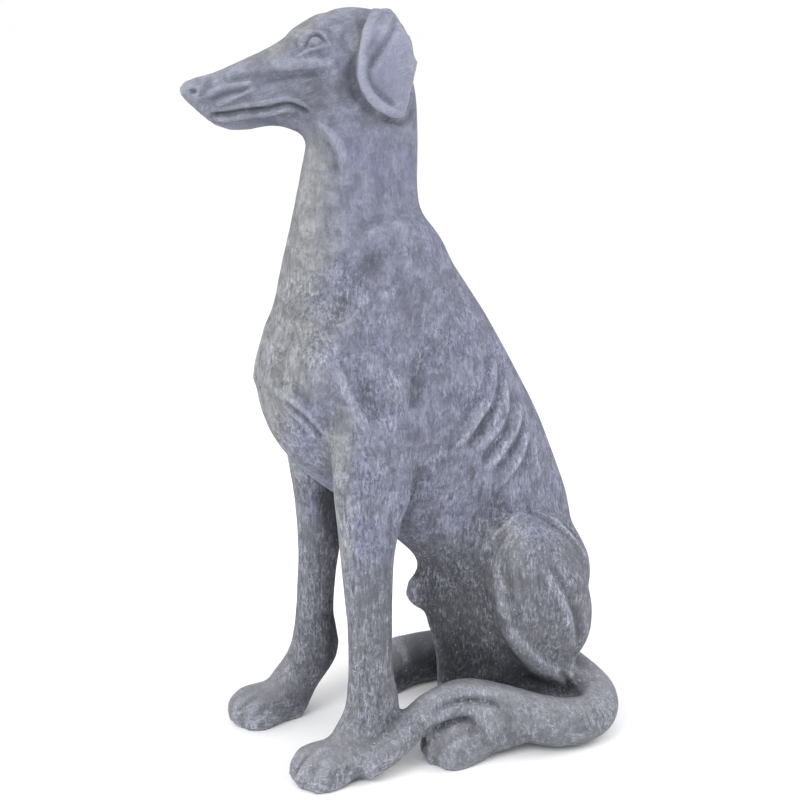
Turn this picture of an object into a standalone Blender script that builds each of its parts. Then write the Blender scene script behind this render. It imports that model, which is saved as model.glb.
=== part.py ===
"""A seated greyhound, a garden statue cast in one piece of stone-grey resin.

Run it with: blender --background --python part.py
Metres, +Z up. The dog faces -Y and its left side is at +X. The origin is on the ground, in the middle of
the figure's footprint. Every place on the figure is (left, ahead, up) in hundredths of its height.
"""

import math

import bpy
import numpy as np
from mathutils import Matrix

# Driving dimension: the statue's height from the ground to the top of its head.
HEIGHT = 0.73
HUNDREDTH = HEIGHT / 100

# How fine the clay is, in hundredths, and how many triangles the finished figure keeps.
ROUGH_GRAIN = 0.8
MIDDLE_GRAIN = 0.65
FINE_GRAIN = 0.5
KEPT_TRIANGLES = 9300
SPARING_OF_THE_HEAD = 0.002
POINTS_ROUND = 32
STEPS_BETWEEN = 5

# The dog looks a little to its right: the head is turned about an upright line through the neck.
HEAD_TURN = math.radians(15)
HEAD_PIVOT_AHEAD = -1.0

# The trunk and neck, sliced level: up, front, back, where it is widest, half width there, and how boxy
# the front and back halves of the slice are (2 is an ellipse, less is keeled, more is square).
TRUNK = (
    (-1.0, -10.8, -27.0, -21.0, 8.5, 1.1, 2.0),
    (5.0, -10.8, -28.6, -21.0, 9.0, 1.1, 2.0),
    (10.0, -10.3, -30.4, -21.0, 9.6, 1.1, 2.0),
    (15.0, -8.9, -31.6, -20.5, 10.2, 1.15, 2.0),
    (20.0, -8.2, -32.5, -20.0, 10.2, 1.25, 2.0),
    (24.0, -8.0, -32.8, -19.0, 9.6, 1.4, 2.0),
    (28.0, -4.3, -32.7, -17.0, 8.4, 1.7, 2.0),
    (32.0, -0.3, -32.0, -14.5, 7.8, 2.0, 2.1),
    (36.0, 4.7, -30.4, -11.5, 8.0, 2.1, 2.1),
    (40.0, 9.3, -28.7, -9.5, 8.7, 2.2, 2.1),
    (45.0, 13.1, -26.4, -7.0, 9.2, 2.3, 2.1),
    (50.0, 14.6, -23.6, -5.0, 9.4, 2.4, 2.1),
    (55.0, 14.7, -20.7, -3.0, 9.2, 2.4, 2.1),
    (60.0, 13.1, -17.7, -2.0, 8.6, 2.3, 2.1),
    (64.0, 12.1, -14.9, -1.5, 7.7, 2.2, 2.1),
    (68.0, 11.4, -12.2, -1.0, 6.7, 2.1, 2.0),
    (71.0, 10.7, -9.9, -0.7, 5.9, 2.1, 2.0),
    (74.0, 9.9, -8.0, -0.5, 5.5, 2.1, 2.0),
    (78.0, 9.0, -7.7, -0.5, 5.2, 2.1, 2.0),
    (82.0, 8.1, -7.9, -0.7, 5.0, 2.1, 2.0),
    (86.0, 7.1, -7.8, -1.0, 4.8, 2.1, 2.0),
    (90.0, 4.7, -7.5, -1.5, 4.6, 2.1, 2.0),
    (94.0, 2.0, -6.0, -2.0, 3.8, 2.1, 2.0),
)

# The head, sliced across from nose to nape: ahead, top, bottom, where it is widest, half width, and how
# boxy the upper and lower halves are.
HEAD = (
    (23.1, 90.9, 89.4, 90.1, 1.1, 2.0, 2.0),
    (22.1, 91.2, 88.4, 89.9, 1.7, 2.2, 2.0),
    (20.5, 91.7, 86.9, 89.4, 2.1, 2.4, 2.0),
    (19.0, 92.0, 85.6, 89.2, 2.3, 2.4, 2.0),
    (17.0, 92.8, 84.8, 89.2, 2.6, 2.4, 2.1),
    (14.0, 94.1, 84.9, 89.5, 3.0, 2.4, 2.2),
    (11.5, 95.2, 85.4, 90.0, 3.4, 2.4, 2.2),
    (9.5, 96.4, 85.0, 90.5, 3.8, 2.4, 2.2),
    (7.0, 98.0, 84.0, 91.2, 4.3, 2.3, 2.2),
    (5.0, 99.1, 83.2, 91.8, 4.6, 2.2, 2.2),
    (2.5, 100.0, 83.0, 92.2, 4.9, 2.2, 2.2),
    (0.0, 100.0, 83.0, 92.5, 4.9, 2.2, 2.2),
    (-2.5, 99.4, 84.5, 92.5, 4.6, 2.1, 2.1),
    (-4.5, 98.0, 86.0, 92.0, 4.0, 2.0, 2.0),
    (-6.0, 95.8, 88.5, 92.0, 2.6, 2.0, 2.0),
)

# The left ear, folded back and hanging: up, front rim, back edge, lateral place, half thickness.
EAR = (
    (99.7, -3.0, -3.6, 3.4, 0.5),
    (98.9, -1.8, -4.0, 3.9, 0.9),
    (97.7, -0.7, -4.8, 4.3, 1.1),
    (96.0, 0.4, -5.8, 4.8, 1.1),
    (94.0, 0.8, -6.3, 5.1, 1.1),
    (92.0, 0.9, -6.2, 5.3, 1.1),
    (90.0, 0.5, -5.7, 5.5, 1.1),
    (88.6, -0.5, -5.3, 5.6, 1.0),
    (87.6, -1.8, -5.1, 5.7, 0.9),
    (86.9, -3.0, -4.9, 5.7, 0.7),
    (86.2, -4.2, -4.8, 5.6, 0.4),
)
EAR_RIM = (
    (3.6, -3.0, 99.8, 0.6),
    (4.4, -1.3, 98.6, 0.8),
    (5.3, 0.2, 96.2, 0.85),
    (5.8, 0.7, 93.6, 0.8),
    (6.1, 0.6, 90.8, 0.8),
    (6.3, -0.6, 88.7, 0.75),
    (6.3, -2.2, 87.5, 0.7),
    (6.0, -4.4, 86.5, 0.5),
)

# The forelegs, sliced level: up, front, back, lateral place, half width.
LEFT_FORELEG = (
    (54.0, 5.5, -0.5, 7.4, 1.6),
    (47.0, 8.0, -2.2, 8.6, 2.9),
    (40.0, 8.3, -2.2, 9.0, 3.1),
    (35.0, 7.9, -1.2, 9.2, 3.0),
    (30.0, 7.5, -0.1, 9.3, 2.8),
    (25.0, 7.1, 0.2, 9.4, 2.6),
    (20.0, 6.7, 0.4, 9.6, 2.6),
    (15.0, 6.7, 0.5, 9.8, 2.6),
    (11.0, 7.0, 0.0, 10.0, 2.8),
    (8.5, 7.6, -0.5, 10.2, 2.8),
    (6.0, 9.0, 2.2, 10.3, 2.8),
    (3.5, 10.4, 4.4, 10.4, 3.0),
    (-1.0, 10.8, 5.0, 10.6, 3.0),
)
RIGHT_FORELEG = (
    (54.0, 5.5, -0.5, -7.4, 1.6),
    (47.0, 8.0, -2.4, -8.2, 2.9),
    (40.0, 8.2, -2.2, -8.4, 3.1),
    (35.0, 7.4, -1.4, -8.5, 3.0),
    (30.0, 6.9, -0.1, -8.5, 2.8),
    (25.0, 6.7, 0.4, -8.5, 2.6),
    (20.0, 6.9, 1.2, -8.5, 2.6),
    (15.0, 7.3, 1.5, -8.5, 2.6),
    (11.0, 8.0, 0.8, -8.5, 2.7),
    (8.5, 9.1, 0.8, -8.5, 2.8),
    (6.0, 11.4, 2.4, -8.4, 2.9),
    (3.5, 13.0, 4.6, -8.3, 3.0),
    (-1.0, 13.4, 7.0, -8.2, 3.0),
)

# Muscles and joints of the left side: place, half sizes (across, ahead, up), lean of the top forwards.
SHOULDER_BLADE = ((4.9, 0.2, 63.5), (4.1, 6.4, 11.5), -38)
WITHERS = ((2.4, -8.2, 68.6), (2.8, 3.1, 5.5), 25)
SHOULDER_POINT = ((5.8, 7.6, 56.0), (4.0, 4.0, 7.0), -15)
UPPER_ARM = ((7.7, 1.4, 50.0), (3.9, 5.6, 10.5), 15)
BREAST = ((3.4, 10.0, 53.0), (4.4, 4.2, 8.5), 0)
ELBOW = ((9.0, -0.3, 39.5), (2.6, 2.4, 5.2), 0)
HIP = ((5.8, -25.9, 21.8), (5.8, 7.0, 8.4), 12)
THIGH = ((8.8, -23.0, 20.4), (6.8, 6.9, 12.4), 24)
THIGH_FRONT = ((8.0, -19.8, 24.6), (4.2, 5.0, 6.0), -30)
KNEE = ((9.8, -18.4, 24.8), (3.2, 3.4, 4.6), 0)
SHEATH = ((0.0, -9.8, 19.4), (2.1, 3.7, 3.2), 0)

# The left lower hind leg from knee to hock, and each hind foot from hock to paw: place and radius.
SHIN = (
    (10.0, -18.2, 25.6, 3.0),
    (10.5, -18.3, 21.0, 3.4),
    (10.9, -19.8, 16.0, 3.5),
    (10.8, -22.6, 11.4, 3.2),
    (10.5, -26.0, 7.6, 2.5),
    (10.2, -28.6, 5.2, 1.9),
)
LEFT_HIND_FOOT = (
    (10.4, -28.4, 3.0, 2.4),
    (11.6, -22.0, 2.8, 2.8),
    (13.3, -15.5, 3.4, 3.8),
    (13.2, -10.0, 3.9, 4.0),
)
RIGHT_HIND_FOOT = (
    (-10.4, -28.4, 3.0, 2.4),
    (-10.3, -22.0, 3.0, 3.4),
    (-10.3, -15.0, 3.2, 3.9),
    (-10.3, -9.0, 3.2, 3.9),
)

# The paws: lateral place, toe tips, width, how far the toes turn to the dog's left in degrees.
LEFT_FORE_PAW = (10.8, 15.6, 8.6, 0)
RIGHT_FORE_PAW = (-8.6, 17.9, 8.6, 0)
LEFT_HIND_PAW = (13.5, -2.9, 9.0, -10)
RIGHT_HIND_PAW = (-10.2, -2.4, 8.6, 0)

# The tail, from under the rump round the left foot to the left fore paw: place and radius.
TAIL = (
    (0.0, -28.0, 6.2, 3.4),
    (6.0, -30.2, 4.9, 3.3),
    (12.4, -30.5, 4.2, 3.2),
    (16.2, -28.2, 3.6, 3.2),
    (17.0, -24.0, 3.4, 3.3),
    (15.8, -19.6, 4.1, 3.5),
    (13.9, -15.6, 6.0, 3.0),
    (12.4, -12.4, 7.5, 2.5),
    (11.7, -9.4, 8.0, 2.5),
    (11.6, -6.4, 7.8, 2.3),
    (11.9, -3.6, 6.9, 2.3),
    (12.5, -1.0, 5.6, 2.2),
    (13.3, 1.6, 4.1, 2.1),
    (13.8, 4.2, 2.9, 2.0),
    (13.9, 6.8, 1.7, 1.8),
)

# Carved lines as (ahead, up) on the side of the body, the same on the left and the right: their places,
# half width and depth, where a depth below zero is a ridge.
BODY_LINES = (
    (((-10.4, 57.0), (-10.2, 53.5), (-8.8, 50.5), (-7.2, 48.6)), 0.8, 0.25),
    (((-13.0, 55.2), (-12.9, 51.5), (-11.2, 48.6), (-9.0, 46.6)), 0.8, 0.40),
    (((-15.9, 52.4), (-15.5, 49.2), (-13.6, 46.2), (-11.2, 44.0)), 0.8, 0.45),
    (((-17.8, 48.6), (-17.5, 45.0), (-15.4, 42.4), (-13.2, 40.4)), 0.8, 0.45),
    (((-19.8, 46.0), (-19.0, 42.4), (-17.0, 39.8), (-15.0, 38.2)), 0.8, 0.35),
    (((-22.4, 41.6), (-21.4, 38.0), (-19.6, 35.4)), 0.8, 0.25),
    (((-14.6, 54.4), (-14.2, 50.4), (-12.4, 47.4), (-10.2, 45.2)), 0.8, -0.25),
    (((-17.0, 50.8), (-16.6, 47.2), (-14.6, 44.4), (-12.4, 42.2)), 0.8, -0.30),
    (((-18.9, 47.4), (-18.3, 43.8), (-16.2, 41.2), (-14.2, 39.4)), 0.8, -0.25),
    (((-5.6, 73.2), (-1.6, 72.0), (2.2, 70.8), (5.0, 69.0), (7.0, 65.6)), 1.3, -0.50),
    (((-2.0, 69.8), (2.4, 68.2), (5.0, 65.0), (7.0, 61.0), (8.2, 57.0)), 1.6, 0.60),
    (((6.8, 56.4), (6.2, 52.8), (5.3, 49.8), (3.4, 47.2), (1.0, 45.6)), 1.3, -0.50),
    (((4.6, 54.4), (3.2, 51.6), (1.7, 48.6)), 1.9, 0.50),
    (((-5.6, 60.0), (-4.2, 56.4), (-3.3, 52.6), (-2.7, 49.2)), 1.5, 0.60),
    (((0.0, 45.0), (0.4, 41.0), (0.7, 37.4)), 1.0, -0.25),
    (((-18.4, 34.8), (-14.6, 32.2), (-12.6, 29.6)), 1.8, 0.80),
    (((-13.4, 29.4), (-16.5, 33.0), (-20.0, 34.0), (-24.8, 31.2), (-28.6, 25.4)), 1.0, -0.45),
    (((-15.6, 29.0), (-15.9, 23.0), (-17.8, 17.6), (-21.8, 13.2), (-27.0, 10.0)), 0.9, 0.60),
    (((-24.0, 24.0), (-25.8, 19.0), (-26.8, 14.6), (-27.6, 11.0)), 0.9, 0.45),
)

# Carved lines as (ahead, up) on the sides of the head, before it is turned.
HEAD_LINES = (
    (((19.3, 86.7), (18.2, 86.6), (15.1, 86.8), (12.0, 87.5), (9.0, 87.6), (6.6, 87.0)), 0.45, 0.55),
    (((18.0, 87.2), (15.0, 87.5), (12.0, 88.2), (9.0, 88.3)), 0.5, -0.25),
    (((21.0, 88.6), (18.5, 89.2), (16.2, 90.0), (13.6, 90.7)), 0.5, 0.40),
    (((7.8, 95.0), (6.9, 96.6), (6.0, 97.0), (4.8, 96.0)), 0.45, 0.45),
    (((8.0, 94.3), (6.4, 94.5), (4.6, 95.2)), 0.45, 0.40),
    (((8.4, 96.8), (6.4, 98.0), (4.4, 97.2)), 0.6, -0.35),
    (((11.0, 93.2), (8.0, 93.2), (5.0, 92.8), (2.8, 90.8)), 0.9, -0.45),
    (((3.2, 96.8), (2.4, 93.6), (2.2, 90.4), (1.0, 88.0)), 1.2, 0.70),
    (((6.0, 85.4), (3.6, 82.8), (3.2, 80.4)), 0.8, -0.35),
    (((-1.4, 96.4), (-1.2, 93.0), (-1.8, 90.0), (-3.6, 88.4)), 1.2, 0.50),
    (((22.5, 90.4), (21.9, 90.2)), 0.35, 0.30),
)
EYE = (6.3, 95.7)


def smooth_run(rows):
    """The rows with smooth rows put in between them, by Catmull and Rom's curve."""
    rows = np.asarray(rows, float)
    padded = np.vstack([2 * rows[0] - rows[1], rows, 2 * rows[-1] - rows[-2]])
    made = []
    for before, start, end, after in zip(padded, padded[1:], padded[2:], padded[3:]):
        for t in np.arange(STEPS_BETWEEN) / STEPS_BETWEEN:
            slope = (end - before) * t
            bend = (2 * before - 5 * start + 4 * end - after) * t**2
            twist = (3 * start - before - 3 * end + after) * t**3
            made.append(start + (slope + bend + twist) / 2)
    return np.array(made + [rows[-1]])


def clear_scene():
    for thing in list(bpy.data.objects):
        bpy.data.objects.remove(thing)


def place(points):
    """Metres in the scene from (left, ahead, up) in hundredths."""
    points = np.asarray(points, float) * HUNDREDTH
    return points * (1, -1, 1)


def shell(name, rings):
    """A closed skin over rings of points, each ring closed with a flat cap at the ends."""
    count = len(rings[0])
    faces = [tuple(range(count)), tuple(range((len(rings) - 1) * count, len(rings) * count))]
    for i in range(len(rings) - 1):
        for j in range(count):
            k = (j + 1) % count
            faces.append((i * count + j, i * count + k, (i + 1) * count + k, (i + 1) * count + j))
    mesh = bpy.data.meshes.new(name)
    mesh.from_pydata(place(np.concatenate(rings)).tolist(), [], faces)
    thing = bpy.data.objects.new(name, mesh)
    bpy.context.collection.objects.link(thing)
    bpy.context.view_layer.objects.active = thing
    bpy.ops.object.select_all(action="DESELECT")
    thing.select_set(True)
    bpy.ops.object.mode_set(mode="EDIT")
    bpy.ops.mesh.select_all(action="SELECT")
    bpy.ops.mesh.normals_make_consistent(inside=False)
    bpy.ops.object.mode_set(mode="OBJECT")
    return thing


def rounded(angle, boxy):
    """Cosine and sine of the angle, squared off as boxy grows past 2 and keeled as it falls below."""
    c, s = math.cos(angle), math.sin(angle)
    return (
        math.copysign(abs(c) ** (2 / boxy), c),
        math.copysign(abs(s) ** (2 / boxy), s),
    )


def trunk():
    rings = []
    for up, front, back, widest, half_width, boxy_front, boxy_back in smooth_run(TRUNK):
        ring = []
        for angle in np.linspace(0, 2 * math.pi, POINTS_ROUND, endpoint=False):
            at_front = math.cos(angle) > 0
            c, s = rounded(angle, boxy_front if at_front else boxy_back)
            reach = front - widest if at_front else widest - back
            ring.append((half_width * s, widest + reach * c, up))
        rings.append(np.array(ring))
    return shell("trunk", rings)


def head():
    rings = []
    for ahead, top, bottom, widest, half_width, boxy_top, boxy_bottom in smooth_run(HEAD):
        ring = []
        for angle in np.linspace(0, 2 * math.pi, POINTS_ROUND, endpoint=False):
            above = math.cos(angle) > 0
            c, s = rounded(angle, boxy_top if above else boxy_bottom)
            reach = top - widest if above else widest - bottom
            ring.append((half_width * s, ahead, widest + reach * c))
        rings.append(np.array(ring))
    return shell("head", rings)


def leg(name, slices, boxy=2.1):
    """A limb sliced level, each slice an oval between its front and back."""
    rings = []
    for up, front, back, lateral, half_width in smooth_run(slices):
        ring = []
        for angle in np.linspace(0, 2 * math.pi, POINTS_ROUND, endpoint=False):
            c, s = rounded(angle, boxy)
            ring.append((lateral + half_width * s, (front + back) / 2 + (front - back) / 2 * c, up))
        rings.append(np.array(ring))
    return shell(name, rings)


def rope(name, stations, side=1):
    """A round limb along a path of places, each with its radius."""
    rows = smooth_run(stations)
    path, radii = rows[:, :3] * (side, 1, 1), rows[:, 3]
    headings = np.gradient(path, axis=0)
    rings = []
    for point, heading, radius in zip(path, headings, radii):
        heading = heading / np.linalg.norm(heading)
        level = np.cross(heading, (0, 0, 1))
        if np.linalg.norm(level) < 0.3:
            level = np.cross(heading, (0, 1, 0))
        level = level / np.linalg.norm(level)
        rise = np.cross(level, heading)
        angles = np.linspace(0, 2 * math.pi, POINTS_ROUND, endpoint=False)[:, None]
        rings.append(point + radius * (np.cos(angles) * level + np.sin(angles) * rise))
    return shell(name, rings)


def muscle(name, centre, half_sizes, lean, side=1, toe_out=0.0):
    """An egg of clay; lean tips its top forwards, toe_out turns its front to the dog's left."""
    bpy.ops.mesh.primitive_uv_sphere_add(segments=POINTS_ROUND, ring_count=POINTS_ROUND // 2, radius=1)
    egg = bpy.context.object
    egg.name = name
    egg.scale = [size * HUNDREDTH for size in half_sizes]
    egg.rotation_euler = (math.radians(lean), 0, math.radians(toe_out))
    egg.location = place((centre[0] * side, centre[1], centre[2]))
    bpy.ops.object.transform_apply(location=False)
    return egg


def both_sides(name, form):
    centre, half_sizes, lean = form
    return [muscle(name, centre, half_sizes, lean, side) for side in (1, -1)]


def paw(name, form):
    """A paw: the pad and four toes, the middle two ahead of the outer two."""
    lateral, tip, width, toe_out = form
    turn = math.radians(toe_out)
    heel = tip - 8.0
    parts = []
    for across, behind, half_sizes, up in (
        (0.0, 5.6, (0.46 * width, 4.9, 3.2), 1.8),
        (-0.345, 4.0, (0.16 * width, 2.9, 2.6), 1.4),
        (-0.125, 2.8, (0.17 * width, 2.9, 3.0), 1.6),
        (0.125, 2.8, (0.17 * width, 2.9, 3.0), 1.6),
        (0.345, 4.1, (0.16 * width, 2.9, 2.6), 1.4),
    ):
        reach = tip - behind - heel
        left = lateral + across * width * math.cos(turn) + reach * math.sin(turn)
        ahead = heel + reach * math.cos(turn) - across * width * math.sin(turn)
        parts.append(muscle(name, (left, ahead, up), half_sizes, 0, 1, toe_out))
    return parts


def ear(side):
    rings = []
    for up, front, back, lateral, half_thickness in smooth_run(EAR):
        ring = []
        for angle in np.linspace(0, 2 * math.pi, POINTS_ROUND, endpoint=False):
            c, s = rounded(angle, 2.4)
            ahead = (front + back) / 2 + (front - back) / 2 * c
            ring.append((side * (lateral + half_thickness * s), ahead, up))
        rings.append(np.array(ring))
    return [shell("ear", rings), rope("ear_rim", EAR_RIM, side)]


def turned_head(things):
    """These, turned to the dog's right about the upright line through its neck."""
    pivot = Matrix.Translation(tuple(place((0, HEAD_PIVOT_AHEAD, 0))))
    turn = pivot @ Matrix.Rotation(-HEAD_TURN, 4, "Z") @ pivot.inverted()
    for thing in things:
        thing.matrix_world = turn @ thing.matrix_world
    return things


def blend(things, name, grain, rounds):
    """The pieces of clay pressed into one, at this grain, and smoothed."""
    bpy.ops.object.select_all(action="DESELECT")
    for thing in things:
        thing.select_set(True)
    bpy.context.view_layer.objects.active = things[0]
    bpy.ops.object.join()
    body = bpy.context.object
    body.name = name
    bpy.ops.object.transform_apply()
    remesh = body.modifiers.new("clay", "REMESH")
    remesh.mode = "VOXEL"
    remesh.voxel_size = grain * HUNDREDTH
    smooth = body.modifiers.new("smooth", "SMOOTH")
    smooth.factor = 0.5
    smooth.iterations = rounds
    bpy.ops.object.convert(target="MESH")
    return body


def torso():
    """Trunk, neck and the muscles that lie flat on them, worked smooth."""
    pieces = [trunk()]
    for name, form in (
        ("shoulder_blade", SHOULDER_BLADE),
        ("withers", WITHERS),
        ("shoulder_point", SHOULDER_POINT),
        ("upper_arm", UPPER_ARM),
        ("breast", BREAST),
        ("hip", HIP),
    ):
        pieces += both_sides(name, form)
    return blend(pieces, "torso", ROUGH_GRAIN, 30)


def rough_body():
    """The torso with its limbs, haunches and sheath."""
    pieces = [torso(), leg("left_foreleg", LEFT_FORELEG), leg("right_foreleg", RIGHT_FORELEG)]
    pieces += [muscle("sheath", *SHEATH)] + turned_head([head()])
    for name, form in (
        ("elbow", ELBOW),
        ("thigh", THIGH),
        ("thigh_front", THIGH_FRONT),
        ("knee", KNEE),
    ):
        pieces += both_sides(name, form)
    pieces += [rope("left_shin", SHIN), rope("right_shin", SHIN, -1)]
    pieces += [rope("left_hind_foot", LEFT_HIND_FOOT), rope("right_hind_foot", RIGHT_HIND_FOOT)]
    return blend(pieces, "body", MIDDLE_GRAIN, 6)


def whole_figure():
    ears = turned_head(ear(1) + ear(-1))
    paws = []
    for name, form in (
        ("left_fore_paw", LEFT_FORE_PAW),
        ("right_fore_paw", RIGHT_FORE_PAW),
        ("left_hind_paw", LEFT_HIND_PAW),
        ("right_hind_paw", RIGHT_HIND_PAW),
    ):
        paws += paw(name, form)
    pieces = [rough_body(), rope("tail", TAIL)] + ears + paws
    return blend(pieces, "greyhound_figure", FINE_GRAIN, 4)


def read(mesh, what):
    values = np.empty(len(mesh.vertices) * 3)
    mesh.vertices.foreach_get(what, values)
    return values.reshape(-1, 3)


def distance_to_line(points, line):
    """How far each point is from the line, and how much of the stroke is left there near its ends."""
    line = smooth_run(line)
    best = np.full(len(points), np.inf)
    along = np.zeros(len(points))
    for i, (start, end) in enumerate(zip(line, line[1:])):
        step = end - start
        t = np.clip((points - start) @ step / (step @ step), 0, 1)
        gap = np.linalg.norm(points - start - t[:, None] * step, axis=1)
        closer = gap < best
        best[closer] = gap[closer]
        along[closer] = (i + t[closer]) / (len(line) - 1)
    return best, np.clip(7 * np.minimum(along, 1 - along), 0, 1)


def carve_lines(places, facing, lines):
    """How deep to cut at each place, in hundredths, for lines drawn on the side."""
    depth = np.zeros(len(places))
    sideways = np.clip(2.5 * np.abs(facing[:, 0]) - 0.4, 0, 1)
    for line, half_width, cut in lines:
        gap, taper = distance_to_line(places[:, 1:], line)
        depth += cut * np.exp(-((gap / half_width) ** 2)) * taper * sideways
    return depth


def unturned(arrows):
    """The arrows as they were before the head was turned."""
    c, s = math.cos(HEAD_TURN), math.sin(HEAD_TURN)
    left, ahead, up = arrows.T
    return np.stack([left * c + ahead * s, ahead * c - left * s, up], 1)


def carve(figure):
    """Ribs, muscle edges, mouth, eyes and ears, cut or raised along the surface's own facing."""
    mesh = figure.data
    places = read(mesh, "co") / HUNDREDTH * (1, -1, 1)
    facing = read(mesh, "normal") * (1, -1, 1)
    on_body = np.clip((80 - places[:, 2]) / 4, 0, 1) * (np.abs(places[:, 0]) > 3)
    on_head = np.clip((places[:, 2] - 79) / 2, 0, 1)
    head_places = unturned(places - (0, HEAD_PIVOT_AHEAD, 0)) + (0, HEAD_PIVOT_AHEAD, 0)
    head_facing = unturned(facing)
    depth = on_body * carve_lines(places, facing, BODY_LINES)
    depth += on_head * carve_lines(head_places, head_facing, HEAD_LINES)
    eyeball = np.linalg.norm(head_places[:, 1:] - EYE, axis=1)
    depth -= on_head * 0.35 * np.exp(-((eyeball / 0.8) ** 2)) * (np.abs(head_facing[:, 0]) > 0.3)
    places = places - facing * depth[:, None]
    mesh.vertices.foreach_set("co", place(places).ravel())
    mesh.update()


def thin_out(figure):
    """Keeps fewer triangles, the most where the form bends and on the head."""
    spared = figure.vertex_groups.new(name="spared")
    heights = read(figure.data, "co")[:, 2] / HUNDREDTH
    for i in np.flatnonzero(heights > 84):
        spared.add([int(i)], 0.9, "REPLACE")
    decimate = figure.modifiers.new("thin_out", "DECIMATE")
    decimate.vertex_group = spared.name
    decimate.invert_vertex_group = True
    decimate.vertex_group_factor = SPARING_OF_THE_HEAD
    count = sum(len(face.vertices) - 2 for face in figure.data.polygons)
    decimate.ratio = KEPT_TRIANGLES / count
    bpy.ops.object.convert(target="MESH")


def stand_flat(figure):
    """Cuts the underside flat at the ground, so that paws, rump and tail rest on it."""
    bpy.ops.mesh.primitive_cube_add(size=1)
    ground = bpy.context.object
    ground.scale = (2 * HEIGHT, 2 * HEIGHT, 0.2 * HEIGHT)
    ground.location = (0, 0, -0.1 * HEIGHT)
    bpy.ops.object.transform_apply()
    cut = figure.modifiers.new("ground", "BOOLEAN")
    cut.operation = "DIFFERENCE"
    cut.solver = "EXACT"
    cut.object = ground
    bpy.ops.object.select_all(action="DESELECT")
    figure.select_set(True)
    bpy.context.view_layer.objects.active = figure
    bpy.ops.object.convert(target="MESH")
    bpy.data.objects.remove(ground)


def settle(figure):
    """Puts the origin under the middle of the figure, and the top of the head at its height."""
    corners = read(figure.data, "co")
    low, high = corners.min(axis=0), corners.max(axis=0)
    corners = corners - ((low[0] + high[0]) / 2, (low[1] + high[1]) / 2, low[2])
    corners[:, 2] *= HEIGHT / (high[2] - low[2])
    figure.data.vertices.foreach_set("co", corners.ravel())
    figure.data.update()


def weathered_resin():
    """Cast stone resin painted lead grey: dull, with no shine of its own."""
    material = bpy.data.materials.new("weathered_resin")
    material.diffuse_color = (0.17, 0.17, 0.21, 1)
    material.roughness = 0.85
    return material


def main():
    clear_scene()
    figure = whole_figure()
    carve(figure)
    thin_out(figure)
    stand_flat(figure)
    settle(figure)
    figure.data.materials.append(weathered_resin())


main()
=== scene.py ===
import math

import bpy
import numpy as np
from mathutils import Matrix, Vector
from mathutils.bvhtree import BVHTree


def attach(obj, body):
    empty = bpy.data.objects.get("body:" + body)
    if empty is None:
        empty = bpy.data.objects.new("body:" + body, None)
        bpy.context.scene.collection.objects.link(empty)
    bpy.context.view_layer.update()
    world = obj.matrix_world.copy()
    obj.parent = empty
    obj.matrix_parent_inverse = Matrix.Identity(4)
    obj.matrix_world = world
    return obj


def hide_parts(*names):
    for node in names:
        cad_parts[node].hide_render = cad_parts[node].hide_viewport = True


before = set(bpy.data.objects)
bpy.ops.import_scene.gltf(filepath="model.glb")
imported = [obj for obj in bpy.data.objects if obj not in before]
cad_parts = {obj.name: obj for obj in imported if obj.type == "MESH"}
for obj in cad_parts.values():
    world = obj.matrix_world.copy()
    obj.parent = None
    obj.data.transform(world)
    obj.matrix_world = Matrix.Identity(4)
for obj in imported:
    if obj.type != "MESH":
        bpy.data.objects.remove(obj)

# Places on the figure are (left, ahead, up) in hundredths of its height, as in the solid's own source.
# MIDDLE is where the scene's origin lies among them.
HEIGHT = 0.73
HUNDREDTH = HEIGHT / 100
MIDDLE = (2.33, -5.92, 0.0)
MM = 0.001

# The head is turned to the dog's right about an upright line through the neck, above this height.
HEAD_TURN = math.radians(15)
HEAD_PIVOT_AHEAD = -1.0
HEAD_ABOVE = 84.0

# The photograph's camera: its eye, heading, downward pitch and lens, and its square frame in pixels.
EYE_POINT = (1.1917, -0.5677, 0.7300)
HEADING = math.radians(65)
PITCH = math.radians(15.843)
LENS = 62.477
SENSOR = 36.0
FRAME = 800

# How fine the clay is, and how many times it is evened out at each stage.
GRAIN = 4.6 * MM
MERGE_WITHIN = 0.01 * MM
ROUNDS_WHOLE = 13
ROUNDS_BEFORE_LINES = 2
ROUNDS_SPLIT_ONCE = 5
ROUNDS_SPLIT_TWICE = 3
STEP_IN = 0.5
STEP_OUT = -0.53
GROUND_BELOW = 0.15

# Where the clay is split once: the head, the paws, and near the body's lines up to this half width.
# Where it is split twice: near the finest lines.
PAWS_BELOW = 5.5
SOLES_BELOW = 0.3
PAWS_BEHIND = 0.0
SPLIT_ONCE_BODY = 1.0
SPLIT_TWICE_HEAD = 0.8
SPLIT_TWICE_BODY = 0.45
NEAR_WIDTHS = 1.8

# How a line is cut: the points put in between its own, how far its cut reaches in half widths, and the
# length of its fading ends, in half widths but no more than this share of the line.
STEPS_BETWEEN = 5
CUT_WIDTHS = 3
END_WIDTHS = 3.5
END_SHARE = 0.45

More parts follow.
